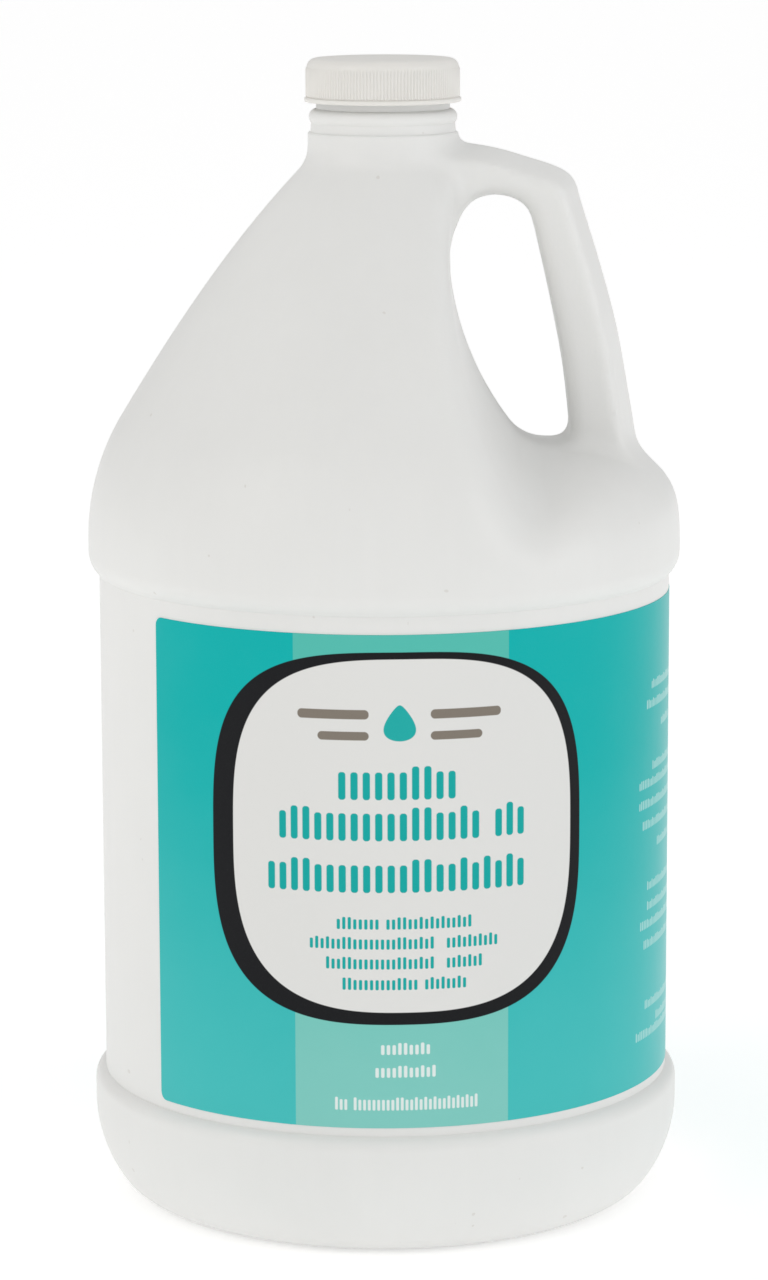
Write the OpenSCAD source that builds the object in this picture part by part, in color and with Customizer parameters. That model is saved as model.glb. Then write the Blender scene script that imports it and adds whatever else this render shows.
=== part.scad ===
// One-gallon round jug with a hollow side handle, a 38 mm screw cap, a liner, a wrap label and its fill.
// Millimetres. The origin is on the ground at the jug's axis, +Z is up and the handle is on the +X side.

/* [Body] */
// Outside diameter of the shoulder band and the base band
body_d = 157; // [130:0.5:190]
// Wall thickness of the moulding
wall = 1.2; // [0.8:0.1:2]
// Height of the base band, up to the label panel's lower edge
base_h = 33.6; // [30:0.1:45]
// Height of the label panel, between the two bands
panel_h = 134.6; // [90:0.1:180]
// Depth of the label panel below the bands
panel_depth = 2.8; // [1:0.1:3.6]
// Height from the label panel's upper edge to the neck's collar
shoulder_h = 112; // [92:0.1:140]
// Height of the push-up in the middle of the underside
push_up = 5; // [2:0.5:8]
// Width of the slope between the push-up and the standing ring
push_slope_w = 11; // [8:1:25]
// Width of the flat ring that the jug stands on
ring_w = 3; // [1:0.5:6]

/* [Body curves] */
// Radius of the corner between the underside and the base band
corner_r = 12; // [6:0.5:16]
// Radius of the base band's curved side
base_side_r = 34.5; // [28:1:80]
// Height of the base band's widest level
base_widest_z = 25; // [20:0.5:27]
// Radius of the base band's upper edge
base_edge_r = 4; // [3.9:0.1:6]
// Radius of the shoulder band's lower edge
shoulder_edge_r = 7; // [5:0.5:9]
// Height of the shoulder band's straight side
shoulder_side_h = 3.3; // [0:0.1:10]
// Radius of the shoulder above its straight side
shoulder_r = 62; // [40:0.5:75]
// Angle that the shoulder's radius turns through
shoulder_turn = 31.4; // [20:0.1:36]
// Lean of the shoulder from upright where it meets the neck
neck_lean = 43.5; // [30:0.5:50]
// Fillet between the shoulder and the neck's collar
neck_fillet_r = 9; // [4:0.5:14]

/* [Neck] */
// Diameter over the crest of the neck's thread
neck_thread_d = 37.3; // [30:0.1:45]
// How far the neck's bead stands out past the thread
bead_out = 0.75; // [0.4:0.05:2]
// Radius of the bead's section
bead_r = 2.2; // [1.5:0.1:3]
// Height of the bead's centre above the collar
bead_rise = 3.8; // [3:0.1:6]
// Depth of the groove below the bead
groove_depth = 0.6; // [0.3:0.05:1.2]
// How far the collar stands out past the bead
collar_out = 0.3; // [0:0.05:2]
// Height of the collar's straight side
collar_h = 3.8; // [2:0.1:6]
// Wall of the neck inside the thread's root
neck_wall = 1.95; // [1.5:0.05:3]

/* [Thread] */
// Depth of the neck's thread
thread_depth = 1.2; // [0.8:0.05:1.5]
// Rise of the thread in one turn
thread_pitch = 4.2333; // [4:0.0001:4.5]
// Turns of thread on the neck, and in the cap
thread_turns = 1.2; // [1:0.05:1.25]
// Height of a thread at its root
thread_root_h = 2.2; // [1.6:0.1:2.3]
// Height of a thread at its crest
thread_crest_h = 1; // [0.6:0.1:1.1]
// Depth from the lip to the middle of the neck thread's upper end
thread_from_lip = 2.5; // [2.3:0.1:3]
// Height from the cap's edge to the middle of the neck thread's lower end
thread_from_edge = 1.32; // [1:0.01:2]

/* [Cap] */
// Wall of the cap's skirt, ribs included
cap_wall = 1.2; // [0.9:0.05:2.5]
// Thickness of the cap's top
cap_top = 1.4; // [1:0.1:2.5]
// Height of the cap's edge above the centre of the neck's bead
cap_rise = 3.9; // [3:0.1:6]
// Number of grip ribs round the cap
rib_count = 144; // [60:4:160]
// Depth of the grip ribs
rib_depth = 0.25; // [0.1:0.05:0.4]
// Radius of the cap's upper edge
cap_edge_r = 2.4; // [1:0.1:3]
// How far the cap's lower bead stands out
cap_bead_out = 0.35; // [0.2:0.05:1]
// Height of the cap's lower bead
cap_bead_h = 1.2; // [0.8:0.1:2]
// Depth that the cap's thread stands in from its skirt
cap_thread_depth = 1.2; // [1:0.05:1.3]
// Thickness of the cap's liner
liner_t = 1; // [0.5:0.1:2]

/* [Handle] */
// Thickness of the handle across the bottle's parting line
handle_depth = 27; // [18:0.5:36]
// Distance from the jug's side to the handle's upper outer corner
handle_corner_in = 30.3; // [26:0.5:34]
// Distance from the jug's side to the handle's outer edge at its foot
handle_foot_in = 12.6; // [9:0.5:18]
// Distance from the jug's axis to the wall of the hand recess
recess_x = 17.2; // [14:0.5:24]
// Distance from the jug's side to the foot of the recess's wall
recess_foot_in = 35.4; // [32:0.1:36]
// Height of the recess's floor above the label panel's upper edge
recess_floor_rise = 34.1; // [28:0.1:44]

/* [Label] */
// Gap between the label's lower edge and the panel's lower edge
label_below = 2.3; // [0.5:0.1:20]
// Gap between the label's upper edge and the panel's upper edge
label_above = 4.5; // [3:0.1:20]
// Angle that the label wraps round, centred on the handle's side
label_wrap = 281; // [90:1:350]
// Thickness of the label's film
label_t = 0.15; // [0.1:0.05:0.5]

/* [Fill] */
// Depth from the neck's lip to the liquid's surface
fill_depth = 55.7; // [44:0.1:120]

/* [Clearances] */
// Radial gap between the crest of a thread and the wall that it faces
thread_gap = 0.35; // [0.2:0.05:0.6]
// Radial gap between the liner and the cap's skirt
liner_gap = 0.3; // [0.1:0.05:1]
// Gap between the liquid and the wall
fill_gap = 0.3; // [0.2:0.05:1]

/* [Hidden] */
$fn = 128;

// A cut passes this far beyond the face that it opens
over = 1;
// A thread's root is buried this deep in the wall that carries it
bury = 0.3;

// Levels and radii of the moulding
body_r = body_d/2;
panel_r = body_r - panel_depth;
panel_top = base_h + panel_h;
collar_z = panel_top + shoulder_h;
bead_z = collar_z + collar_h + bead_rise;
cap_z = bead_z + cap_rise;
lip_z = cap_z + thread_from_edge + thread_turns*thread_pitch + thread_from_lip;
bead_out_r = neck_thread_d/2 + bead_out;
groove_r = bead_out_r - groove_depth;
collar_r = bead_out_r + collar_out;
neck_root_r = neck_thread_d/2 - thread_depth;
bore_r = neck_root_r - neck_wall;
collar_edge_r = 0.7;
lip_edge_r = 0.5;

// Where the base corner's arc meets the side's arc, and the radius of the standing ring
base_split = asin((base_widest_z - corner_r)/(base_side_r - corner_r));
ring_r = body_r - base_side_r + (base_side_r - corner_r)*cos(base_split);

// Centres of the bands' edge arcs, the foot of the shoulder's arc and its top, and the foot of the neck
base_edge_z = base_h - base_edge_r*sin(band_angle(base_edge_r));
shoulder_edge_z = panel_top + shoulder_edge_r*sin(band_angle(shoulder_edge_r));
shoulder_z = shoulder_edge_z + shoulder_side_h;
arc_end = [body_r - shoulder_r*(1 - cos(shoulder_turn)), shoulder_z + shoulder_r*sin(shoulder_turn)];
neck_foot = [collar_r + neck_fillet_r*(1 - cos(neck_lean)), collar_z - neck_fillet_r*sin(neck_lean)];
slope_len = norm(neck_foot - arc_end);

// Angle of a band's edge arc of radius r, from the band's side to the recessed panel
function band_angle(r) = acos(max(1 - panel_depth/r, 0));

// The point where the panel meets an edge arc that ends short of it, from the arc's centre height z
function band_step(r, d, z) = r - d < panel_depth ? [[panel_r - d, z]] : [];

// Points on an arc round c from angle a0 to a1
function arc(c, r, a0, a1, steps = 5) =
    [for (i = [0:steps]) let (a = a0 + (a1 - a0)*i/steps) c + r*[cos(a), sin(a)]];

// A point and a direction on a cubic curve, and the curve moved inwards by d
function curve_point(p, t) =
    pow(1 - t, 3)*p[0] + 3*pow(1 - t, 2)*t*p[1] + 3*(1 - t)*t*t*p[2] + pow(t, 3)*p[3];
function curve_direction(p, t) =
    let (v = pow(1 - t, 2)*(p[1] - p[0]) + 2*(1 - t)*t*(p[2] - p[1]) + t*t*(p[3] - p[2])) v/norm(v);
function curve_inset(p, d, steps = 8) =
    [for (i = [0:steps]) let (t = i/steps, v = curve_direction(p, t)) curve_point(p, t) + d*[-v.y, v.x]];

ring_in_r = ring_r - ring_w;
push_slope = [
    [ring_in_r - push_slope_w, push_up], [ring_in_r - push_slope_w/2, push_up],
    [ring_in_r - push_slope_w/2, 0], [ring_in_r, 0]
];
shoulder_slope = [
    arc_end, arc_end + slope_len/3*[-sin(shoulder_turn), cos(shoulder_turn)],
    neck_foot - slope_len/3*[-sin(neck_lean), cos(neck_lean)], neck_foot
];

// The moulding's outline from the middle of the underside to the collar, d inside its outer skin
function skin(d) = concat(
    [[0, push_up + d]],
    curve_inset(push_slope, d),
    arc([ring_r, corner_r], corner_r - d, -90, -base_split),
    arc([body_r - base_side_r, base_widest_z], base_side_r - d, -base_split, 0),
    arc([body_r - base_edge_r, base_edge_z], base_edge_r - d, 0, band_angle(base_edge_r - d)),
    band_step(base_edge_r, d, base_edge_z + base_edge_r - d),
    band_step(shoulder_edge_r, d, shoulder_edge_z - shoulder_edge_r + d),
    arc([body_r - shoulder_edge_r, shoulder_edge_z],
        shoulder_edge_r - d, -band_angle(shoulder_edge_r - d), 0),
    arc([body_r - shoulder_r, shoulder_z], shoulder_r - d, 0, shoulder_turn),
    curve_inset(shoulder_slope, d),
    arc([collar_r + neck_fillet_r, collar_z], neck_fillet_r + d, 180 + neck_lean, 180)
);

// The neck's outline above the collar, up to the lip
groove_a = -acos((groove_r - bead_out_r + bead_r)/bead_r);
root_a = acos((neck_root_r - bead_out_r + bead_r)/bead_r);
neck_outline = concat(
    arc([collar_r - collar_edge_r, collar_z + collar_h - collar_edge_r], collar_edge_r, 0, 90, 3),
    [[groove_r, collar_z + collar_h + collar_edge_r]],
    arc([bead_out_r - bead_r, bead_z], bead_r, groove_a, root_a, 10),
    arc([neck_root_r - lip_edge_r, lip_z - lip_edge_r], lip_edge_r, 0, 90, 3)
);

// Hand recess: its outline is turned about an axis across the bottle, so its floor and wall are crowned
recess_waist_z = collar_z - 24.7;
recess_upper_r = 48.5;
recess_upper_turn = 35;
recess_fillet_r = 12;
floor_z = panel_top + recess_floor_rise;
floor_crown_r = 64.6;
floor_axis_depth = 136;
fillet_x = body_r - recess_foot_in;
floor_x = fillet_x + 2.4;

// The arc of the recess's wall: upright at the waist, and running into the fillet at the floor
fillet_drop = recess_waist_z - floor_z - recess_fillet_r;
fillet_turn = 2*atan((fillet_x - recess_x - recess_fillet_r)/fillet_drop);
recess_lower_r = recess_fillet_r + fillet_drop/sin(fillet_turn);
recess_out = body_r + 5;
floor_turn = asin((recess_out - floor_x)/floor_crown_r);

// The recess's outline in [x, z], grown by g into the bottle
function recess_outline(g) = concat(
    arc([recess_x + recess_lower_r, recess_waist_z], recess_lower_r + g, 180, 180 + fillet_turn),
    arc([fillet_x, floor_z + recess_fillet_r], recess_fillet_r + g, 180 + fillet_turn, 270),
    arc([floor_x, floor_z - floor_crown_r], floor_crown_r - g, 90, 90 - floor_turn),
    [[recess_out, recess_waist_z + recess_upper_r*sin(recess_upper_turn)]],
    arc([recess_x + recess_upper_r, recess_waist_z], recess_upper_r + g, 180 - recess_upper_turn, 180)
);

module recess(g) {
    axis_z = floor_z - floor_axis_depth;
    translate([0, 0, axis_z])
        rotate([0, 90, 0])
            rotate_extrude()
                polygon([for (p = recess_outline(g)) [p.y - axis_z, p.x]]);
}

// Handle: its outer and inner edges in [x, z] at each station, from inside the neck to inside the shoulder
corner = [body_r - handle_corner_in, collar_z - 7];
foot = [body_r - handle_foot_in, floor_z + 6];
foot_w = 17;
handle_stations = [
    [[collar_r - 7.5, collar_z + 1], [collar_r - 7.5, collar_z - 18.5]],
    [[collar_r + 1.5, collar_z + 2.2], [collar_r + 0.5, collar_z - 15.3]],
    [[collar_r + 9.8, collar_z + 0.2], [collar_r + 8, collar_z - 11.4]],
    [corner + [-8, 4.1], corner + [-14.5, -5.1]],
    [corner + [-1, 1.3], corner + [-11.3, -7.3]],
    [corner + [2.5, -3.9], corner + [-9.3, -11.3]],
    [corner + [5.9, -15.2], corner + [-7.9, -18.3]],
    [foot + [-3, 16.3], foot + [-19, 15.4]],
    [foot, foot + [-foot_w, -0.5]],
    [foot + [1.6, -10.5], foot + [-foot_w + 0.4, -10.5]],
    [foot + [2.5, -20.5], foot + [-foot_w + 0.6, -20.5]]
];

// Section of the handle: [share of the way across from the inner edge, share of the half depth]
handle_section = [[0, 0.5], [0.05, 0.72], [0.22, 0.9], [0.5, 0.97], [0.74, 1], [0.87, 0.8], [0.96, 0.42]];

// One ring of the handle, d inside its skin, at edge points outer and inner
function handle_ring(outer, inner, d) =
    let (
        across = (outer - inner)/norm(outer - inner),
        width = norm(outer - inner) - 2*d,
        half = handle_depth/2 - d,
        side = [for (s = handle_section) [inner + across*(d + s[0]*width), s[1]*half]],
        tip = inner + across*(d + width)
    )
    concat(
        [for (s = side) [s[0].x, -s[1], s[0].y]],
        [[tip.x, 0, tip.y]],
        [for (i = [len(side) - 1:-1:0]) [side[i][0].x, side[i][1], side[i][0].y]]
    );

// A closed solid through rings of points
module through_rings(rings) {
    n = len(rings[0]);
    last = len(rings) - 1;
    sides = [
        for (k = [0:last - 1], i = [0:n - 1])
            let (a = k*n + i, b = k*n + (i + 1)%n)
            each [[a, b, b + n], [a, b + n, a + n]]
    ];
    ends = [[for (i = [n - 1:-1:0]) i], [for (i = [0:n - 1]) last*n + i]];
    polyhedron([for (r = rings) each r], concat(sides, ends));
}

module handle(d) {
    through_rings([for (s = handle_stations) handle_ring(s[0], s[1], d)]);
}

// The body d inside its outer skin, with its recess and without its neck
module body_inside(d) {
    difference() {
        rotate_extrude() polygon(concat(skin(d), [[0, collar_z]]));
        recess(d);
    }
    handle(d);
}

// Threads: both are right-handed, and the cap's runs half a pitch above the neck's
neck_thread_z = lip_z - thread_from_lip - thread_turns*thread_pitch;
cap_thread_start = -0.35;
cap_thread_z = neck_thread_z + (0.5 + cap_thread_start)*thread_pitch;
cap_inner_r = neck_thread_d/2 + thread_gap;
cap_r = cap_inner_r + cap_wall;
cap_h = lip_z + liner_t + cap_top - cap_z;
cap_crest_r = cap_inner_r - cap_thread_depth;

// A thread that starts at height z and turn start, buried at root_r and pointing towards crest_r
module thread(z, start, root_r, crest_r) {
    per_turn = 30;
    steps = round(thread_turns*per_turn);
    fade = 2;
    rings = [
        for (i = [0:steps])
            let (
                a = 360*(start + i/per_turn),
                z0 = z + thread_pitch*i/per_turn,
                grown = max(min(i, steps - i, fade)/fade, 0.05),
                crest = root_r + (crest_r - root_r)*grown,
                points = [
                    [root_r, z0 - thread_root_h/2*grown],
                    [crest, z0 - thread_crest_h/2*grown],
                    [crest, z0 + thread_crest_h/2*grown],
                    [root_r, z0 + thread_root_h/2*grown]
                ]
            )
            [for (p = points) [p[0]*cos(a), p[0]*sin(a), p[1]]]
    ];
    through_rings(crest_r > root_r ? rings : [for (r = rings) [r[3], r[2], r[1], r[0]]]);
}

module bottle() {
    color("ghostwhite")
        difference() {
            union() {
                body_inside(0);
                rotate_extrude()
                    polygon(concat([[0, collar_z - over], [collar_r, collar_z - over]],
                                   neck_outline, [[0, lip_z]]));
                thread(neck_thread_z, 0, neck_root_r - bury, neck_thread_d/2);
            }
            body_inside(wall);
            rotate_extrude()
                polygon([
                    [0, collar_z - over], [collar_r - wall, collar_z - over], [collar_r - wall, collar_z],
                    [bore_r, collar_z + collar_h + bead_rise/2], [bore_r, lip_z + over], [0, lip_z + over]
                ]);
        }
}

module screw_cap() {
    rib_root_r = cap_r - rib_depth;
    core_r = rib_root_r - 0.05;
    rim_r = cap_r + cap_bead_out;
    bead_round = 0.2;
    top_z = cap_z + cap_h;
    color("white") {
        difference() {
            union() {
                rotate_extrude()
                    polygon(concat(
                        [[0, cap_z], [rim_r - bead_round, cap_z], [rim_r, cap_z + bead_round],
                         [rim_r, cap_z + cap_bead_h - bead_round],
                         [rim_r - bead_round, cap_z + cap_bead_h], [core_r, cap_z + cap_bead_h]],
                        arc([core_r - cap_edge_r, top_z - cap_edge_r], cap_edge_r, 0, 90),
                        [[0, top_z]]));
                translate([0, 0, cap_z + cap_bead_h/2])
                    linear_extrude(cap_h - cap_bead_h/2 - cap_edge_r)
                        polygon([
                            for (i = [0:2*rib_count - 1])
                                let (r = i%2 == 0 ? cap_r : rib_root_r, a = 180*i/rib_count)
                                r*[cos(a), sin(a)]
                        ]);
            }
            translate([0, 0, cap_z - over])
                cylinder(r = cap_inner_r, h = cap_h - cap_top + over);
        }
        thread(cap_thread_z, cap_thread_start, cap_inner_r + bury, cap_crest_r);
    }
}

module cap_liner() {
    color("gainsboro")
        translate([0, 0, lip_z])
            cylinder(r = cap_inner_r - liner_gap, h = liner_t);
}

module label() {
    color("lightseagreen")
        rotate([0, 0, -label_wrap/2])
            rotate_extrude(angle = label_wrap)
                translate([panel_r, base_h + label_below])
                    square([label_t, panel_h - label_below - label_above]);
}

module shampoo() {
    color("mediumaquamarine")
        difference() {
            body_inside(wall + fill_gap);
            translate([-body_r, -body_r, lip_z - fill_depth])
                cube([body_d, body_d, lip_z]);
        }
}

bottle();
screw_cap();
cap_liner();
label();
shampoo();
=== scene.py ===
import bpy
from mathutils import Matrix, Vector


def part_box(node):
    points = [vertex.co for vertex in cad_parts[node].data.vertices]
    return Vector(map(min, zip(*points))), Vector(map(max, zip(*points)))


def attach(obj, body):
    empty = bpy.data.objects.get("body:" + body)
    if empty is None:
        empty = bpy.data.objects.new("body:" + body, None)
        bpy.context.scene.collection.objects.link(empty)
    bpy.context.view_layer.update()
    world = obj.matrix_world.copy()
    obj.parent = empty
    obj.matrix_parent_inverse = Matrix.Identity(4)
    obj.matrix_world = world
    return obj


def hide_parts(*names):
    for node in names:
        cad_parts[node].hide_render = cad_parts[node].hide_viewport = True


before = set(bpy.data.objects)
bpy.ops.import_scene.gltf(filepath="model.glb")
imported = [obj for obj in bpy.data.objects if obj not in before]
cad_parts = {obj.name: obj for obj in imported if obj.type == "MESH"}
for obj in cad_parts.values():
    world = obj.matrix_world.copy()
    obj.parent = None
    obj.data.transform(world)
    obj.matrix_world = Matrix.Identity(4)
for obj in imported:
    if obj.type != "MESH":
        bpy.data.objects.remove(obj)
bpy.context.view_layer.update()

from math import acos, asin, atan, cos, degrees, hypot, pi, radians, sin

import bpy
import numpy as np
from mathutils import Matrix, Vector

scene = bpy.context.scene
scene.view_settings.view_transform = "Standard"


# ---- Camera ----
# A long lens a little above the cap's height, looking slightly down on the front of the jug, with the
# handle to the right. Sizes from here on are in millimetres, and MM turns them into the frame's metres.
MM = 0.001
camera_place = (-0.1, -1174.5, 364.0)
camera_pitch = 0.1814
camera_roll = -0.003

bpy.ops.object.camera_add()
camera = bpy.context.object
camera.name = "camera"
camera.data.lens = 125.74
camera.matrix_world = (
    Matrix.Translation(Vector(camera_place)*MM)
    @ Matrix.Rotation(pi/2 - camera_pitch, 4, "X")
    @ Matrix.Rotation(camera_roll, 4, "Z")
)
scene.camera = camera


# ---- Floor and light ----
# A white table that glows a little, under a white room, with two large soft boxes that shape the jug: a
# warm key on the left and a plainer one on the right. Colours are given as the eye sees them, 0 to 255.
def colour(red, green, blue):
    def linear(value):
        share = value/255
        return share/12.92 if share <= 0.04045 else ((share + 0.055)/1.055)**2.4
    return (linear(red), linear(green), linear(blue), 1)


class Link:
    """A shader socket: sums on it add Math nodes, and node() adds any other node to its material."""

    def __init__(self, tree, socket=None):
        self.tree = tree
        self.socket = socket

    def node(self, kind, inputs={}, output=0, stops=(), **settings):
        new = self.tree.nodes.new(kind)
        for name, value in settings.items():
            setattr(new, name, value)
        for at, value in stops:
            new.color_ramp.elements.new(at).color = value
        if stops:
            new.color_ramp.elements.remove(new.color_ramp.elements[0])
            new.color_ramp.elements.remove(new.color_ramp.elements[-1])
        for key, value in inputs.items():
            if isinstance(value, Link):
                self.tree.links.new(value.socket, new.inputs[key])
            else:
                new.inputs[key].default_value = value
        return Link(self.tree, new.outputs[output])

    def math(self, operation, *values):
        return self.node("ShaderNodeMath", dict(enumerate(values)), operation=operation)

    def __add__(self, other):
        return self.math("ADD", self, other)

    def __sub__(self, other):
        return self.math("SUBTRACT", self, other)

    def __mul__(self, other):
        return self.math("MULTIPLY", self, other)

    def __truediv__(self, other):
        return self.math("DIVIDE", self, other)

    def __rsub__(self, other):
        return self.math("SUBTRACT", other, self)

    __radd__ = __add__
    __rmul__ = __mul__

    def __abs__(self):
        return self.math("ABSOLUTE", self)

    def __pow__(self, other):
        return self.math("POWER", self, other)

    def least(self, other):
        return self.math("MINIMUM", self, other)

    def most(self, other):
        return self.math("MAXIMUM", self, other)

    def step(self, start, end):
        """Runs smoothly from 0 at start to 1 at end."""
        inputs = {"Value": self, "From Min": start, "From Max": end}
        return self.node("ShaderNodeMapRange", inputs, interpolation_type="SMOOTHSTEP")

    def noise(self, scale, detail=2.0, stretch=(1, 1, 1)):
        """Noise round 0 at a point given by this vector, with its features 1/scale long."""
        point = self.node("ShaderNodeMapping", {"Vector": self, "Scale": stretch})
        return self.node("ShaderNodeTexNoise", {"Vector": point, "Scale": scale, "Detail": detail}) - 0.5

    def mix(self, first, second):
        """The first colour where this mask is 0, and the second where it is 1."""
        return self.node("ShaderNodeMix", {0: self, 6: first, 7: second}, output=2, data_type="RGBA")


def new_material(name):
    """An empty material: its first link, for adding nodes, and the Principled shader's inputs."""
    made = bpy.data.materials.new(name)
    made.use_nodes = True
    return made, Link(made.node_tree), made.node_tree.nodes["Principled BSDF"].inputs


def feed(inputs, **values):
    """Sets a shader's sockets, whose names are given with low lines for spaces, to values or links."""
    for name, value in values.items():
        socket = inputs[name.replace("_", " ")]
        if isinstance(value, Link):
            value.tree.links.new(value.socket, socket)
        else:
            socket.default_value = value


def deselect():
    if bpy.context.object and bpy.context.object.mode == "EDIT":
        bpy.ops.object.mode_set(mode="OBJECT")
    bpy.ops.object.select_all(action="DESELECT")


deselect()
bpy.ops.mesh.primitive_plane_add(size=80)
floor = bpy.context.object
floor.name = "floor"
floor_finish, links, inputs = new_material("pale_floor")
feed(
    inputs, Base_Color=colour(246, 246, 246), Roughness=0.7, Specular_IOR_Level=0.1,
    Emission_Color=(1, 1, 1, 1), Emission_Strength=0.29)
floor.data.materials.append(floor_finish)

# The room is white overhead and greyer towards the floor.
scene.world = bpy.data.worlds.new("studio")
scene.world.use_nodes = True
sky = scene.world.node_tree.nodes["Background"].inputs
heading = Link(scene.world.node_tree).node("ShaderNodeTexCoord", output="Generated")
rise = heading.node("ShaderNodeSeparateXYZ", {"Vector": heading}, output="Z")
feed(sky, Color=rise.step(-0.1, 0.6).mix(colour(205, 205, 205), colour(255, 255, 255)), Strength=0.79)


def soft_box(name, place, width, height, power, tint):
    """An area light at a place in metres, facing the middle of the jug."""
    bpy.ops.object.light_add(type="AREA", location=place)
    lamp = bpy.context.object
    lamp.name = name
    lamp.rotation_euler = (Vector((0, 0, 0.15)) - Vector(place)).to_track_quat("-Z", "Y").to_euler()
    lamp.data.shape = "RECTANGLE"
    lamp.data.size = width
    lamp.data.size_y = height
    lamp.data.energy = power
    lamp.data.color = tint


soft_box("key_light", (-1.6, -1.2, 1.1), 1.2, 1.6, 7.5, (1, 0.97, 0.91))
soft_box("side_light", (1.9, -0.9, 0.7), 0.8, 1.4, 6.5, (1, 1, 1))


# ---- Bottle ----
# A one-gallon jug of white high-density polyethylene, blow moulded in two halves that part along the
# handle's middle: body, hollow handle and threaded neck are one skin about 1.2 mm thick.
bottle_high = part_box("bottle")[1]
band_r = bottle_high.x/MM
lip_z = bottle_high.z/MM
wall = 1.2
panel_depth = 2.8
panel_foot = 33.6
panel_top = 168.2
seam_z = 175.5
shoulder_z = 177.1
shoulder_r = 62
shoulder_turn = 31.4
neck_lean = 43.5
neck_fillet = 9
collar_z = lip_z - 20.4
collar_r = 19.7
finish_z = collar_z + 3.1


def arc(x, z, r, start, end, steps):
    """Points round (x, z), from one angle to another in degrees."""
    turns = [radians(start + (end - start)*i/steps) for i in range(steps + 1)]
    return [(x + r*cos(a), z + r*sin(a)) for a in turns]


def sweep(start, start_turn, end, end_turn, steps):
    """Points on a cubic curve that leaves its start and meets its end along given angles in degrees."""
    reach = hypot(end[0] - start[0], end[1] - start[1])/3
    p = np.array([
        start, (start[0] + reach*cos(radians(start_turn)), start[1] + reach*sin(radians(start_turn))),
        (end[0] - reach*cos(radians(end_turn)), end[1] - reach*sin(radians(end_turn))), end,
    ])
    return [
        tuple((1 - t)**3*p[0] + 3*(1 - t)**2*t*p[1] + 3*(1 - t)*t*t*p[2] + t**3*p[3])
        for t in np.linspace(0, 1, steps + 1)
    ]


shoulder_end = arc(band_r - shoulder_r, shoulder_z, shoulder_r, 0, shoulder_turn, 1)[-1]
neck_foot = arc(collar_r + neck_fillet, collar_z, neck_fillet, 180 + neck_lean, 180, 1)[0]
shoulder_outline = (
    [(0, 150), (band_r, 150)]
    + arc(band_r - shoulder_r, shoulder_z, shoulder_r, 0, shoulder_turn, 16)
    + sweep(shoulder_end, 90 + shoulder_turn, neck_foot, 90 + neck_lean, 14)[1:-1]
    + arc(collar_r + neck_fillet, collar_z, neck_fillet, 180 + neck_lean, 180, 6)
    + [(collar_r, lip_z), (0, lip_z)]
)

# The hand recess: an outline turned about an axis across the jug, so its floor and its wall are crowned.
recess_x = 17.2
waist_z = collar_z - 24.7
recess_floor = panel_top + 34.1
recess_fillet = 12
recess_foot = band_r - 35.4
recess_axis = recess_floor - 136
wall_drop = waist_z - recess_floor - recess_fillet
wall_turn = degrees(2*atan((recess_foot - recess_x - recess_fillet)/wall_drop))
wall_r = recess_fillet + wall_drop/sin(radians(wall_turn))
recess_outline = (
    arc(recess_x + 48.5, waist_z, 48.5, 145, 180, 8)
    + arc(recess_x + wall_r, waist_z, wall_r, 180, 180 + wall_turn, 14)[1:]
    + arc(recess_foot, recess_floor + recess_fillet, recess_fillet, 180 + wall_turn, 270, 8)[1:]
    + arc(recess_foot + 2.4, recess_floor - 64.6, 64.6, 90, 54, 12)
    + [(band_r + 15, collar_z + 4)]
)


def smooth_line(points, steps=5):
    """A line through every point, rounded between them."""
    p = np.array([points[0]] + points + [points[-1]], float)
    made = [
        0.5*(2*b + (c - a)*t + (2*a - 5*b + 4*c - d)*t*t + (3*b - a - 3*c + d)*t**3)
        for a, b, c, d in zip(p, p[1:], p[2:], p[3:])
        for t in np.arange(steps)/steps
    ]
    return [tuple(point) for point in made] + [points[-1]]


# The handle's outer edge and the edge of its hole, seen from the front, as (x, z) from neck to foot.
handle_outer = [(-10, 180), (-10, 281.4)] + smooth_line([
    (12, 281.4), (21, 281.0), (30, 279.5), (38.2, 277.1), (44.4, 275.1), (48.2, 273.2), (50.5, 270.4),
    (52.2, 264.8), (57.1, 249.1), (61.4, 233.2), (64.4, 217.3), (67.1, 201.3), (68.8, 190), (69.5, 180),
])
handle_hole = [(5, 180), (5, 246)] + smooth_line([
    (10, 251), (17.4, 259.7), (20.2, 263.4), (24, 266.6), (28.8, 267.9), (33.9, 267), (37.3, 264.6),
    (39.2, 260.6), (40.9, 253.8), (44.4, 238.1), (47.4, 222.3), (49.2, 206.4), (49.8, 195), (50, 180),
])
handle_half = 11.9
handle_flare = 0.135
bevel_turn = radians(17.3)


def off_outline(outline, x, z):
    """How far points lie outside a closed outline: below zero inside it."""
    nearest = np.full(x.shape, 1e9)
    inside = np.zeros(x.shape, bool)
    for (ax, az), (bx, bz) in zip(outline, outline[1:] + outline[:1]):
        ex, ez, wx, wz = bx - ax, bz - az, x - ax, z - az
        along = np.clip((wx*ex + wz*ez)/max(ex*ex + ez*ez, 1e-12), 0, 1)
        nearest = np.minimum(nearest, (wx - along*ex)**2 + (wz - along*ez)**2)
        if az != bz:
            inside ^= ((az > z) != (bz > z)) & (wx < wz*ex/ez)
    return np.where(inside, -1, 1)*np.sqrt(nearest)


def meet(a, b, rounding):
    """Where two solids overlap, with the edge between them rounded."""
    near = np.maximum(rounding - np.abs(a - b), 0)
    return np.maximum(a, b) + near**2/(4*rounding)


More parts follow.
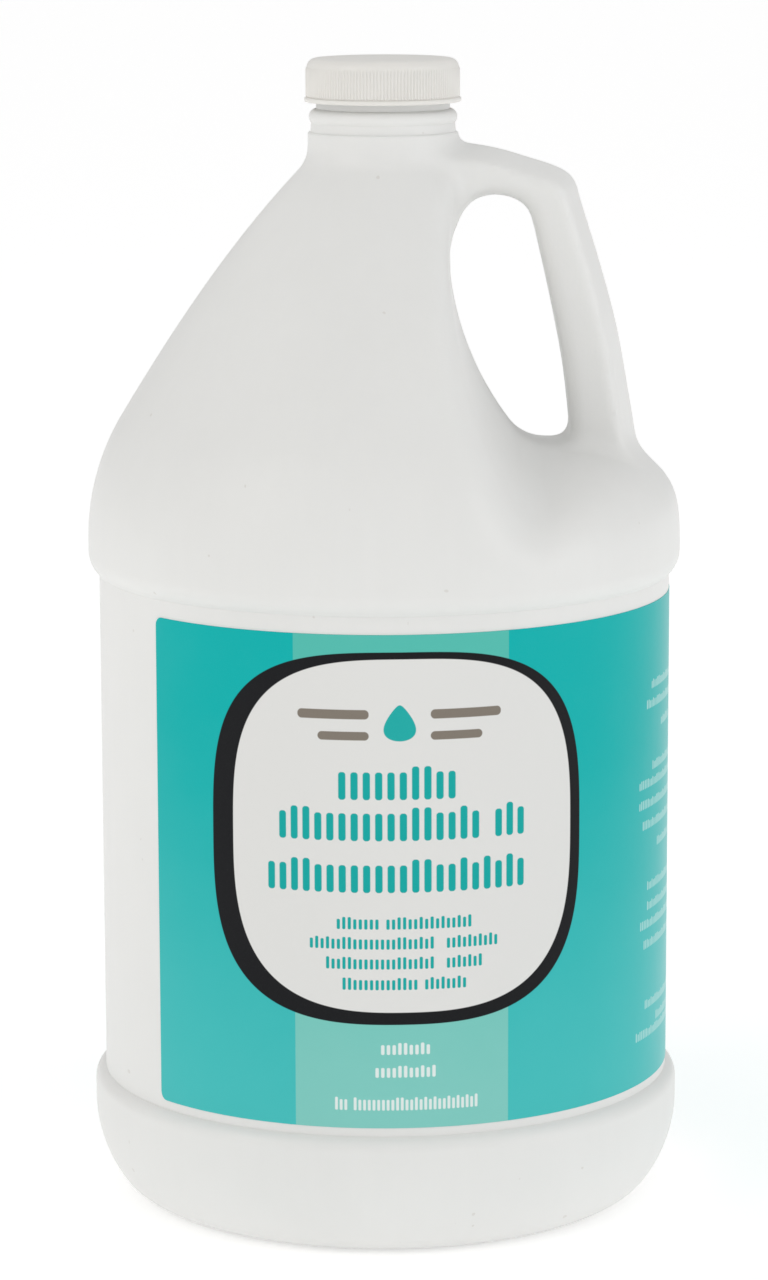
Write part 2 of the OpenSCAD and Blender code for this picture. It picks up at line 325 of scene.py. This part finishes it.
def off_skin(points):
    """How far points lie outside the jug's shoulder, recess and handle, with their edges rounded."""
    x, y, z = points.T
    shoulder = off_outline(shoulder_outline, np.hypot(x, y), z)
    recess = off_outline(recess_outline, x, np.hypot(y, z - recess_axis) + recess_axis)
    outer = off_outline(handle_outer, x, z)
    hole = -off_outline(handle_hole, x, z)
    half = handle_half + handle_flare*np.clip(-hole, 0, 16)
    side = np.sqrt(y*y + 1) - 1
    bevel = outer*cos(bevel_turn) + side*sin(bevel_turn)
    handle = meet(meet(np.abs(y) - half, hole, 4.5), bevel, 2.5)
    upper = np.clip((z - 262)/20, 0, 1)
    body = meet(shoulder, -recess, 7 - 4.5*upper)
    return -meet(-body, -handle, 6 - 3*upper)


def start_edit(piece):
    deselect()
    piece.select_set(True)
    bpy.context.view_layer.objects.active = piece
    bpy.ops.object.mode_set(mode="EDIT")
    bpy.ops.mesh.select_all(action="SELECT")


def apply_modifier(piece, kind, **settings):
    deselect()
    bpy.context.view_layer.objects.active = piece
    modifier = piece.modifiers.new(kind, kind)
    for name, value in settings.items():
        setattr(modifier, name, value)
    bpy.ops.object.modifier_apply(modifier=modifier.name)


def add_ring(name, r, z, corners, fill="NGON"):
    """A flat ring round the jug's axis, open in edit mode, for turn_ring to pull."""
    deselect()
    bpy.ops.mesh.primitive_circle_add(
        vertices=corners, radius=r*MM, location=(0, 0, z*MM), fill_type=fill)
    piece = bpy.context.object
    piece.name = name
    bpy.ops.object.transform_apply()
    start_edit(piece)
    return piece


def turn_ring(start, outline):
    """Pulls the selected ring from its (radius, height) through the others, as on a lathe."""
    r0, z0 = start
    for r, z in outline:
        bpy.ops.mesh.extrude_region_move(TRANSFORM_OT_translate={"value": (0, 0, (z - z0)*MM)})
        bpy.ops.transform.resize(value=(r/r0, r/r0, 1), center_override=(0, 0, 0))
        r0, z0 = r, z


def join(pieces):
    deselect()
    for piece in pieces:
        piece.select_set(True)
    bpy.context.view_layer.objects.active = pieces[0]
    bpy.ops.object.join()
    return pieces[0]


# A rough shoulder, recess and handle: a turned solid, less a cylinder, with a bent tube laid over it.
rough = add_ring("shoulder_blank", band_r, 150, 96)
turn_ring((band_r, 150), shoulder_outline[2:-1])
deselect()
bpy.ops.mesh.primitive_cylinder_add(
    vertices=96, radius=45*MM, depth=0.2, location=(0.062, 0, 0.2475), rotation=(pi/2, 0, 0))
cutter = bpy.context.object
apply_modifier(rough, "BOOLEAN", operation="DIFFERENCE", solver="EXACT", object=cutter)
bpy.data.objects.remove(cutter)

handle_core = bpy.data.curves.new("handle_core", "CURVE")
handle_core.dimensions = "3D"
handle_core.bevel_depth = 7.5*MM
handle_core.use_fill_caps = True
spine = handle_core.splines.new("POLY")
spine_points = smooth_line([
    (5, 273), (22, 273.5), (34, 271.5), (42.5, 268), (47, 259), (53, 237), (57.5, 211), (59, 190)])
spine.points.add(len(spine_points) - 1)
for point, (x, z) in zip(spine.points, spine_points):
    point.co = (x*MM, 0, z*MM, 1)
handle_rod = bpy.data.objects.new("handle_core", handle_core)
scene.collection.objects.link(handle_rod)
deselect()
handle_rod.select_set(True)
bpy.context.view_layer.objects.active = handle_rod
bpy.ops.object.convert(target="MESH")
rough = join([rough, handle_rod])
apply_modifier(rough, "REMESH", mode="VOXEL", voxel_size=2.6*MM)


def settle(piece, depth, rounds):
    """Relaxes a skin and lays it back on the jug's surface, at a depth inside it, a few times over."""
    count = len(piece.data.vertices)
    points = np.empty(count*3)
    for _ in range(rounds):
        start_edit(piece)
        bpy.ops.mesh.vertices_smooth(factor=0.5, repeat=3)
        bpy.ops.object.mode_set(mode="OBJECT")
        piece.data.vertices.foreach_get("co", points)
        place = points.reshape(-1, 3)/MM
        for _ in range(2):
            off = off_skin(place) + depth
            slope = np.stack([off_skin(place + move) + depth - off for move in 0.05*np.eye(3)], 1)/0.05
            place -= slope*(off/np.maximum((slope**2).sum(1), 0.3))[:, None]
        points[:] = (place*MM).ravel()
        piece.data.vertices.foreach_set("co", points)
    piece.data.update()


settle(rough, 0, 6)


def select_open_edges():
    """Selects the edges that close no surface, and nothing else, in edit mode."""
    bpy.ops.mesh.select_mode(type="EDGE")
    bpy.ops.mesh.select_all(action="DESELECT")
    bpy.ops.mesh.select_non_manifold(
        extend=False, use_wire=False, use_boundary=True, use_multi_face=False, use_non_contiguous=False,
        use_verts=False)


def shoulder_skin(name, voxel, depth, top):
    """The blended shoulder and handle as one skin at a depth, cut off at the seam and at the top."""
    piece = bpy.data.objects.new(name, rough.data.copy())
    scene.collection.objects.link(piece)
    apply_modifier(piece, "REMESH", mode="VOXEL", voxel_size=voxel*MM)
    settle(piece, depth, 4)
    start_edit(piece)
    bpy.ops.mesh.select_mode(type="EDGE")
    for level, up in ((seam_z, True), (top, False)):
        bpy.ops.mesh.select_all(action="SELECT")
        bpy.ops.mesh.bisect(
            plane_co=(0, 0, level*MM), plane_no=(0, 0, 1), clear_inner=up, clear_outer=not up,
            threshold=1e-6)
    select_open_edges()
    bpy.ops.mesh.remove_doubles(threshold=0.12*MM)
    bpy.ops.object.mode_set(mode="OBJECT")
    return piece


def open_edge(piece, level, name):
    """The open edge of a skin at a level, copied to a piece of its own and selected in edit mode."""
    start_edit(piece)
    select_open_edges()
    bpy.ops.object.mode_set(mode="OBJECT")
    for edge in piece.data.edges:
        if abs(piece.data.vertices[edge.vertices[0]].co.z - level*MM) > 1e-4:
            edge.select = False
    for vertex in piece.data.vertices:
        vertex.select = False
    for edge in piece.data.edges:
        if edge.select:
            for corner in edge.vertices:
                piece.data.vertices[corner].select = True
    bpy.ops.object.mode_set(mode="EDIT")
    bpy.ops.mesh.duplicate()
    bpy.ops.mesh.separate(type="SELECTED")
    bpy.ops.object.mode_set(mode="OBJECT")
    ring = next(o for o in bpy.context.selected_objects if o != piece)
    ring.name = name
    start_edit(ring)
    return ring


def edge_turn(r):
    return degrees(acos(max(1 - panel_depth/r, 0)))


base_split = degrees(asin((25 - 12)/(34.5 - 12)))
stand_r = band_r - 34.5 + (34.5 - 12)*cos(radians(base_split))
base_edge_z = panel_foot - 4*sin(radians(edge_turn(4)))


def lower_outline(depth, steps):
    """The jug's outline from the shoulder band down to the middle of its underside, at a depth."""
    slope = sweep((stand_r - 3, depth), 180, (stand_r - 14, 5 + depth), 180, steps)
    return (
        arc(band_r - 7, shoulder_z - 3.3, 7 - depth, 0, -edge_turn(7 - depth), steps)
        + arc(band_r - 4, base_edge_z, 4 - depth, edge_turn(4 - depth), 0, steps)
        + arc(band_r - 34.5, 25, 34.5 - depth, 0, -base_split, 2*steps)[1:]
        + arc(stand_r, 12, 12 - depth, -base_split, -90, 2*steps)[1:]
        + slope + [(2, 5 + depth)]
    )


def close_below(skin, depth, steps, name):
    """Pulls the seam's edge down the body and across the underside to its middle."""
    body = open_edge(skin, seam_z, name)
    turn_ring((band_r - depth, seam_z), lower_outline(depth, steps))
    bpy.ops.mesh.merge(type="CENTER")
    bpy.ops.object.mode_set(mode="OBJECT")
    return body


voxel = 1.3
outer_skin = shoulder_skin("bottle", voxel, 0, finish_z)
outer_body = close_below(outer_skin, 0, 7, "bottle_body")
inner_skin = shoulder_skin("bottle_inside", 2.4, wall, finish_z)
inner_body = close_below(inner_skin, wall, 3, "bottle_inside_body")

# The neck's finish: a groove, a bead and a straight neck up to the lip, then down its bore.
bead_z = collar_z + 7.6
bead_edge = 19.4
groove_r = 18.8
neck_r = 17.45
bore_r = 15.5
groove_turn = degrees(acos((groove_r - bead_edge + 2.2)/2.2))
neck_turn = degrees(acos((neck_r - bead_edge + 2.2)/2.2))
neck = open_edge(outer_skin, finish_z, "bottle_neck")
turn_ring(
    (collar_r, finish_z),
    arc(collar_r - 0.7, collar_z + 3.1, 0.7, 12, 90, 4)
    + arc(bead_edge - 2.2, bead_z, 2.2, -groove_turn, neck_turn, 12)
    + arc(neck_r - 0.5, lip_z - 0.5, 0.5, 0, 90, 4)
    + arc(bore_r + 0.3, lip_z - 0.3, 0.3, 90, 180, 3)
    + [(bore_r, bead_z - 1.8), (collar_r - wall, finish_z + 0.6)],
)
bpy.ops.object.mode_set(mode="OBJECT")
outer_skin = join([outer_skin, outer_body, neck])
inner_skin = join([inner_skin, inner_body])
for skin in (outer_skin, inner_skin):
    start_edit(skin)
    bpy.ops.mesh.remove_doubles(threshold=2e-6)
    bpy.ops.object.mode_set(mode="OBJECT")
bottle = join([outer_skin, inner_skin])
start_edit(bottle)
select_open_edges()
bpy.ops.mesh.bridge_edge_loops()
bpy.ops.mesh.select_all(action="SELECT")
bpy.ops.mesh.normals_make_consistent(inside=False)
bpy.ops.object.mode_set(mode="OBJECT")

pitch = 4.2333
thread_turns = 1.2


def make_thread(name, root_r, crest_r, foot_z, first_turn):
    """A right-hand thread: its section is drawn once, then pulled round and up, and fades at its ends."""
    deselect()
    middle = (root_r + crest_r)/2
    bpy.ops.mesh.primitive_plane_add(size=1)
    thread = bpy.context.object
    thread.name = name
    thread.scale = (abs(crest_r - root_r)*MM, 2.2*MM, 1)
    thread.rotation_euler = (pi/2, 0, 0)
    thread.location = (middle*MM, 0, foot_z*MM)
    bpy.ops.object.transform_apply()
    for vertex in thread.data.vertices:
        if abs(vertex.co.x - crest_r*MM) < 1e-6:
            vertex.co.z = foot_z*MM + (vertex.co.z - foot_z*MM)/2.2
    steps = 46
    turn = 2*pi*thread_turns/steps
    sizes = [0.1, 0.45, 0.8] + [1]*(steps - 5) + [0.8, 0.45, 0.1]
    root = Matrix.Rotation(2*pi*first_turn, 4, "Z")
    thread.data.transform(root)
    start_edit(thread)
    for i in range(steps + 1):
        angle = 2*pi*first_turn + turn*i
        at = (root_r*cos(angle)*MM, root_r*sin(angle)*MM, (foot_z + pitch*thread_turns*i/steps)*MM)
        change = sizes[i]/(sizes[i - 1] if i else 1)
        bpy.ops.transform.resize(value=(change, change, change), center_override=at)
        if i < steps:
            bpy.ops.mesh.extrude_region_move(
                TRANSFORM_OT_translate={"value": (0, 0, pitch*thread_turns/steps*MM)})
            bpy.ops.transform.rotate(value=-turn, orient_axis="Z", center_override=(0, 0, 0))
    bpy.ops.mesh.select_all(action="SELECT")
    bpy.ops.mesh.normals_make_consistent(inside=False)
    bpy.ops.object.mode_set(mode="OBJECT")
    return thread


def unite(piece, other):
    apply_modifier(piece, "BOOLEAN", operation="UNION", solver="MANIFOLD", object=other)
    bpy.data.objects.remove(other)


neck_thread_z = lip_z - 2.5 - thread_turns*pitch
unite(bottle, make_thread("neck_thread", neck_r - 0.3, 18.65, neck_thread_z, 0))


def smooth(piece, angle):
    deselect()
    piece.select_set(True)
    bpy.context.view_layer.objects.active = piece
    bpy.ops.object.shade_smooth_by_angle(angle=radians(angle))


smooth(bottle, 30)

bottle_finish, links, inputs = new_material("white_polyethylene")
place = links.node("ShaderNodeTexCoord", output="Object")
across = links.node("ShaderNodeSeparateXYZ", {"Vector": place}, output="Y")
cloud = place.noise(22)
streak = place.noise(260, 1.0, (1, 1, 0.05))
peel = place.noise(900, 1.0)
grit = place.noise(3200, 0.0)
specks = place.noise(420, 0.0).step(0.36, 0.39)
parting = 1 - abs(across).step(0.00008, 0.0004)
tint = (0.5 + cloud*1.1 + streak*0.25).mix(colour(225, 225, 223), colour(231, 231, 229))
tint = (specks*0.22).mix(tint, colour(170, 160, 146))
height = peel*0.00002 + grit*0.000005 + streak*0.00001 + parting*0.00007
feed(
    inputs, Base_Color=tint, Roughness=0.42 + cloud*0.08 + peel*0.05, IOR=1.5,
    Subsurface_Weight=0.15, Subsurface_Scale=0.004, Subsurface_Radius=(1, 0.95, 0.9),
    Normal=links.node("ShaderNodeBump", {"Height": height, "Distance": 1.0}),
)
bottle.data.materials.clear()
bottle.data.materials.append(bottle_finish)
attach(bottle, "bottle")
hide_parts("bottle")


# ---- Shampoo ----
# The fill: one gallon of pearly mint liquid that stands in the jug and its handle, up to the shoulder.
fill_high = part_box("shampoo")[1]
fill_depth = wall + 0.3
fill_skin = shoulder_skin("shampoo", 2.4, fill_depth, fill_high.z/MM)
fill_body = close_below(fill_skin, fill_depth, 3, "shampoo_body")
shampoo = join([fill_skin, fill_body])
start_edit(shampoo)
bpy.ops.mesh.remove_doubles(threshold=2e-6)
select_open_edges()
bpy.ops.mesh.fill()
bpy.ops.mesh.select_all(action="SELECT")
bpy.ops.mesh.normals_make_consistent(inside=False)
bpy.ops.object.mode_set(mode="OBJECT")
smooth(shampoo, 40)
bpy.data.objects.remove(rough)

shampoo_finish, links, inputs = new_material("pearly_mint_liquid")
place = links.node("ShaderNodeTexCoord", output="Object")
swirl = place.noise(30, 4.0, (1, 1, 2))
feed(
    inputs, Base_Color=(0.5 + swirl*2).mix(colour(120, 205, 190), colour(196, 236, 228)),
    Roughness=0.1 + abs(swirl)*0.1, Subsurface_Weight=0.4, Subsurface_Scale=0.006, Coat_Weight=0.3,
    Normal=links.node("ShaderNodeBump", {"Height": swirl*0.00005, "Distance": 1.0}),
)
shampoo.data.materials.append(shampoo_finish)
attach(shampoo, "bottle")
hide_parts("shampoo")


# ---- Label ----
# A satin printed film, wound once most of the way round the recessed panel and stuck to it, with
# rounded corners. It is cut flat, and its map is in metres: along from the jug's front, and up.
label_low, label_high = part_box("label")
film = 0.15
label_r = label_high.x/MM - film
label_foot = label_low.z/MM
label_top = label_high.z/MM
label_wrap = 281
label_long = radians(label_wrap)*label_r
label_front = label_r*pi/2
strip = 1.6

deselect()
bpy.ops.mesh.primitive_plane_add(
    size=1, location=(0, 0, (label_foot + label_top)/2*MM), rotation=(pi/2, 0, 0))
label = bpy.context.object
label.name = "label"
label.scale = (label_long*MM, (label_top - label_foot)*MM, 1)
bpy.ops.object.transform_apply()
start_edit(label)
bpy.ops.mesh.bevel(offset=2.2*MM, segments=6, affect="VERTICES")
cuts = round(label_long/strip)
for i in range(1, cuts):
    bpy.ops.mesh.select_all(action="SELECT")
    at = (-label_long/2 + label_long*i/cuts)*MM
    bpy.ops.mesh.bisect(plane_co=(at, 0, 0), plane_no=(1, 0, 0))
bpy.ops.object.mode_set(mode="OBJECT")
flat_map = label.data.uv_layers.active or label.data.uv_layers.new()
for loop in label.data.loops:
    co = label.data.vertices[loop.vertex_index].co
    flat_map.data[loop.index].uv = (co.x + label_front*MM, co.z)
apply_modifier(
    label, "SIMPLE_DEFORM", deform_method="BEND", deform_axis="Z", angle=radians(label_wrap))
label.location.y = -label_r*MM
bpy.ops.object.select_all(action="DESELECT")
label.select_set(True)
bpy.ops.object.transform_apply()
label.rotation_euler.z = pi/2
bpy.ops.object.transform_apply()
apply_modifier(label, "SOLIDIFY", thickness=film*MM, offset=1.0, use_even_offset=True)
smooth(label, 40)

label_finish, links, inputs = new_material("printed_film")
flat = links.node("ShaderNodeUVMap", uv_map=flat_map.name)
along = links.node("ShaderNodeSeparateXYZ", {"Vector": flat}, output="X")/MM
up = links.node("ShaderNodeSeparateXYZ", {"Vector": flat}, output="Y")/MM
soft = 0.12


def rounded_block(x, z, half_w, half_h, corner):
    """A mask of a block with rounded corners, from a point's distances to its middle."""
    out_x = (abs(x) - (half_w - corner)).most(0)
    out_z = (abs(z) - (half_h - corner)).most(0)
    return 1 - ((out_x*out_x + out_z*out_z)**0.5).step(corner - soft, corner + soft)


def bar(left, right, foot, top, corner=0.5):
    """A mask of a printed bar with rounded corners, from its edges in millimetres."""
    return rounded_block(
        along - (left + right)/2, up - (foot + top)/2, (right - left)/2, (top - foot)/2, corner)


def rounded_square(x, z, half_w, half_h, power):
    """A mask of a square whose sides bow out, as a super-ellipse."""
    wide = (abs(along - x)/half_w)**power
    high = (abs(up - z)/half_h)**power
    return 1 - ((wide + high)**(1/power)).step(1 - soft/half_w, 1 + soft/half_w)


def most(masks):
    total = masks[0]
    for mask in masks[1:]:
        total = total.most(mask)
    return total


def text_rows(pitch, tall, words):
    """A mask of place-holders for words, given as (left, right, middle height): rows of short strokes.

    The strokes aren't letters: they stand side by side on one foot line, some taller than the others.
    """
    column = along/pitch
    stroke = column.math("FLOOR", column)
    from_stroke = (column - stroke - 0.5)*pitch
    chance = stroke.node("ShaderNodeTexWhiteNoise", {"W": stroke}, noise_dimensions="1D").step(0.6, 0.61)
    from_row = most([
        (up - middle + 50)*up.math("COMPARE", up, middle, tall + soft)
        for middle in sorted({z for _, _, z in words})
    ]) - 50
    shown = []
    for left, right, middle in words:
        left, right = round(left/pitch)*pitch, round(right/pitch)*pitch
        wide = along.math("COMPARE", along, (left + right)/2, (right - left)/2)
        shown.append(wide*up.math("COMPARE", up, middle, tall + soft))
    strokes = rounded_block(
        from_stroke, from_row + (1 - chance)*tall*0.17, pitch*0.3, (chance*0.17 + 0.83)*tall, pitch*0.25)
    return strokes*most(shown)


stripe = bar(-23.3, 32.2, 0, 400, 0.1)
frame_mask = rounded_square(3.8, 111.2, 50.4, 48.1, 3.05)
panel_mask = rounded_square(5.3, 111.9, 45.7, 45.6, 2.95)
large_words = text_rows(3.1, 4.3, [
    (-11.5, 18.0, 125.8), (-29.3, 24.9, 115.2), (28.6, 35.9, 115.2), (-30.0, 36.7, 101.8)])
small_words = text_rows(1.4, 1.6, [
    (-12.9, -1.4, 89.6), (0.4, 22.8, 89.6), (-19.0, 13.0, 84.4), (15.2, 28.8, 84.4),
    (-15.7, 13.0, 79.2), (14.9, 25.6, 79.2), (-10.8, 8.2, 73.8), (10.0, 20.7, 73.8)])
drop_z = 141.2
drop = 1 - (((abs(along - 3.8)/(1 - (up - drop_z)/9))**2 + ((up - drop_z)*0.8)**2)**0.5).step(3.6, 3.8)
grey_marks = most([bar(-22.2, -4, 142.2, 144.6, 1.1), bar(-17, -4, 136.8, 139, 1.1),
                   bar(11.6, 30, 142.2, 144.6, 1.1), bar(11.6, 25, 136.8, 139, 1.1)])
pale_words = text_rows(1.45, 1.55, [(-1.2, 11.4, 56.8), (-2.3, 12.4, 50.8)]).most(
    text_rows(1.2, 1.7, [(-13.3, -9.8, 42.3), (-8.4, 23.5, 42.3)]))
side_lines = text_rows(1.1, 1.2, [
    (left, 118 - (left - 80)*0.5, middle) for left, middle in (
        (88.5, 142.2), (84.6, 137.2), (97, 131), (88.6, 120.4), (80.3, 116.2), (80.4, 110.8), (83, 105.2),
        (93, 99.2), (85.6, 88.6), (86, 83.2), (81, 78.4), (83.6, 73), (85.2, 56.6), (93.4, 51.8),
        (79.4, 48.8))])
back_lines = most(
    [bar(140, 226 - (i*37 % 23), 150 - 5*i, 151.6 - 5*i, 0.7) for i in range(5)]
    + [bar(150, 206, 74, 76, 0.7), bar(150, 196, 69, 71, 0.7)]
)
print_speckle = flat.noise(2500, 0.0)
ink_cloud = flat.noise(60, 3.0)
# The teal and the mint run lighter towards the label's foot: a painted reflection of the bright floor,
# laid over the print's own colours and the ink's patchiness.
teal_with_painted_reflection = (up.step(30, 148) + ink_cloud*0.2).mix(colour(68, 187, 186), colour(0, 174, 172))
mint = (up.step(30, 148) + ink_cloud*0.2).mix(colour(128, 199, 190), colour(84, 186, 173))
print_and_painted_reflection = stripe.mix(teal_with_painted_reflection, mint)
print_and_painted_reflection = frame_mask.mix(print_and_painted_reflection, colour(20, 21, 24))
print_and_painted_reflection = panel_mask.mix(print_and_painted_reflection, colour(221, 221, 219))
print_and_painted_reflection = large_words.mix(print_and_painted_reflection, colour(14, 164, 160))
print_and_painted_reflection = small_words.mix(print_and_painted_reflection, colour(20, 164, 160))
print_and_painted_reflection = drop.mix(print_and_painted_reflection, colour(30, 168, 164))
print_and_painted_reflection = grey_marks.mix(print_and_painted_reflection, colour(128, 120, 110))
print_and_painted_reflection = (pale_words*0.95).mix(print_and_painted_reflection, colour(224, 232, 230))
print_and_painted_reflection = (side_lines.most(back_lines)*0.55).mix(print_and_painted_reflection, colour(205, 232, 228))
print_and_painted_reflection = abs(print_speckle*0.012).mix(print_and_painted_reflection, colour(255, 255, 255))
feed(
    inputs, Base_Color=print_and_painted_reflection, Roughness=0.3 + ink_cloud*0.06, IOR=1.48, Specular_IOR_Level=0.12,
    Normal=links.node(
        "ShaderNodeBump", {"Height": flat.noise(300, 1.0)*0.00002 + panel_mask*0.00001, "Distance": 1.0}),
)
label.data.materials.append(label_finish)
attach(label, "bottle")
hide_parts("label")


# ---- Screw cap ----
# A white polypropylene closure, injection moulded in one piece: fine grip ribs, a bead round its lower
# edge and a thread inside, so that it screws down over the neck.
cap_low, cap_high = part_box("screw_cap")
cap_foot = cap_low.z/MM
cap_top = cap_high.z/MM
rim_r = cap_high.x/MM
rib_r = rim_r - 0.35
rib_count = 144
rib_depth = 0.25
core_r = rib_r - rib_depth - 0.05
inside_r = 19.0
inside_top = lip_z + 1
edge_r = 2.4
rib_foot = cap_foot + 1.6
rib_top = cap_top - edge_r - 0.3
cap = add_ring("screw_cap", 2, inside_top, 4*rib_count)
turn_ring((2, inside_top), (
    arc(inside_r - 0.5, inside_top - 0.5, 0.5, 90, 0, 3)
    + arc(inside_r + 0.3, cap_foot + 0.3, 0.3, 180, 270, 3)
    + arc(rim_r - 0.35, cap_foot + 0.35, 0.35, 270, 360, 3)
    + arc(rim_r - 0.35, cap_foot + 0.85, 0.35, 0, 90, 3)
    + [(core_r, cap_foot + 1.3), (rib_r, rib_foot), (rib_r, rib_top)]
    + arc(core_r - edge_r, cap_top - edge_r, edge_r, 5, 90, 8)
    + [(2, cap_top)]
))
bpy.ops.object.mode_set(mode="OBJECT")
for vertex in cap.data.vertices:
    level = vertex.co.z/MM
    angle = np.arctan2(vertex.co.y, vertex.co.x)
    if abs(hypot(vertex.co.x, vertex.co.y)/MM - rib_r) < 1e-3 and rib_foot - 0.01 < level < rib_top + 0.01:
        if cos(rib_count*angle + pi/4) < 0:
            vertex.co.xy = vertex.co.xy*((rib_r - rib_depth)/rib_r)
start_edit(cap)
bpy.ops.mesh.normals_make_consistent(inside=False)
bpy.ops.object.mode_set(mode="OBJECT")
unite(cap, make_thread("cap_thread", inside_r + 0.3, inside_r - 1.2, neck_thread_z + 0.15*pitch, -0.35))
smooth(cap, 32)

cap_finish, links, inputs = new_material("white_polypropylene")
place = links.node("ShaderNodeTexCoord", output="Object")
cloud = place.noise(60)
grain = place.noise(1800, 1.0)
feed(
    inputs, Base_Color=(0.5 + cloud).mix(colour(224, 222, 217), colour(230, 228, 224)),
    Roughness=0.36 + cloud*0.1 + grain*0.05, IOR=1.49,
    Subsurface_Weight=0.15, Subsurface_Scale=0.002, Subsurface_Radius=(1, 0.95, 0.9),
    Normal=links.node("ShaderNodeBump", {"Height": grain*0.00001, "Distance": 1.0}),
)
cap.data.materials.clear()
cap.data.materials.append(cap_finish)
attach(cap, "cap")
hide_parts("screw_cap")


# ---- Cap liner ----
# A disc of white polyethylene foam, die cut and pushed into the cap, where it seals on the neck's lip
# and takes the lip's print as a shallow ring.
liner_low, liner_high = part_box("cap_liner")
liner_r = liner_high.x/MM
liner_foot = liner_low.z/MM
liner_top = liner_high.z/MM
liner = add_ring("cap_liner", 2, liner_foot, 144)
turn_ring((2, liner_foot), (
    [(14.8, liner_foot), (15.2, liner_foot + 0.06), (17.2, liner_foot + 0.06), (17.5, liner_foot)]
    + arc(liner_r - 0.15, liner_foot + 0.15, 0.15, -90, 0, 3)
    + arc(liner_r - 0.15, liner_top - 0.15, 0.15, 0, 90, 3)
    + [(2, liner_top)]
))
bpy.ops.mesh.select_all(action="SELECT")
bpy.ops.mesh.normals_make_consistent(inside=False)
bpy.ops.object.mode_set(mode="OBJECT")
smooth(liner, 40)

liner_finish, links, inputs = new_material("foam_disc")
place = links.node("ShaderNodeTexCoord", output="Object")
cells = links.node("ShaderNodeTexVoronoi", {"Vector": place, "Scale": 2200}, output="Distance")
feed(
    inputs, Base_Color=cells.mix(colour(206, 206, 200), colour(238, 238, 234)), Roughness=0.8,
    Normal=links.node("ShaderNodeBump", {"Height": cells*0.00006, "Distance": 1.0}),
)
liner.data.materials.append(liner_finish)
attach(liner, "liner")
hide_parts("cap_liner")


deselect()
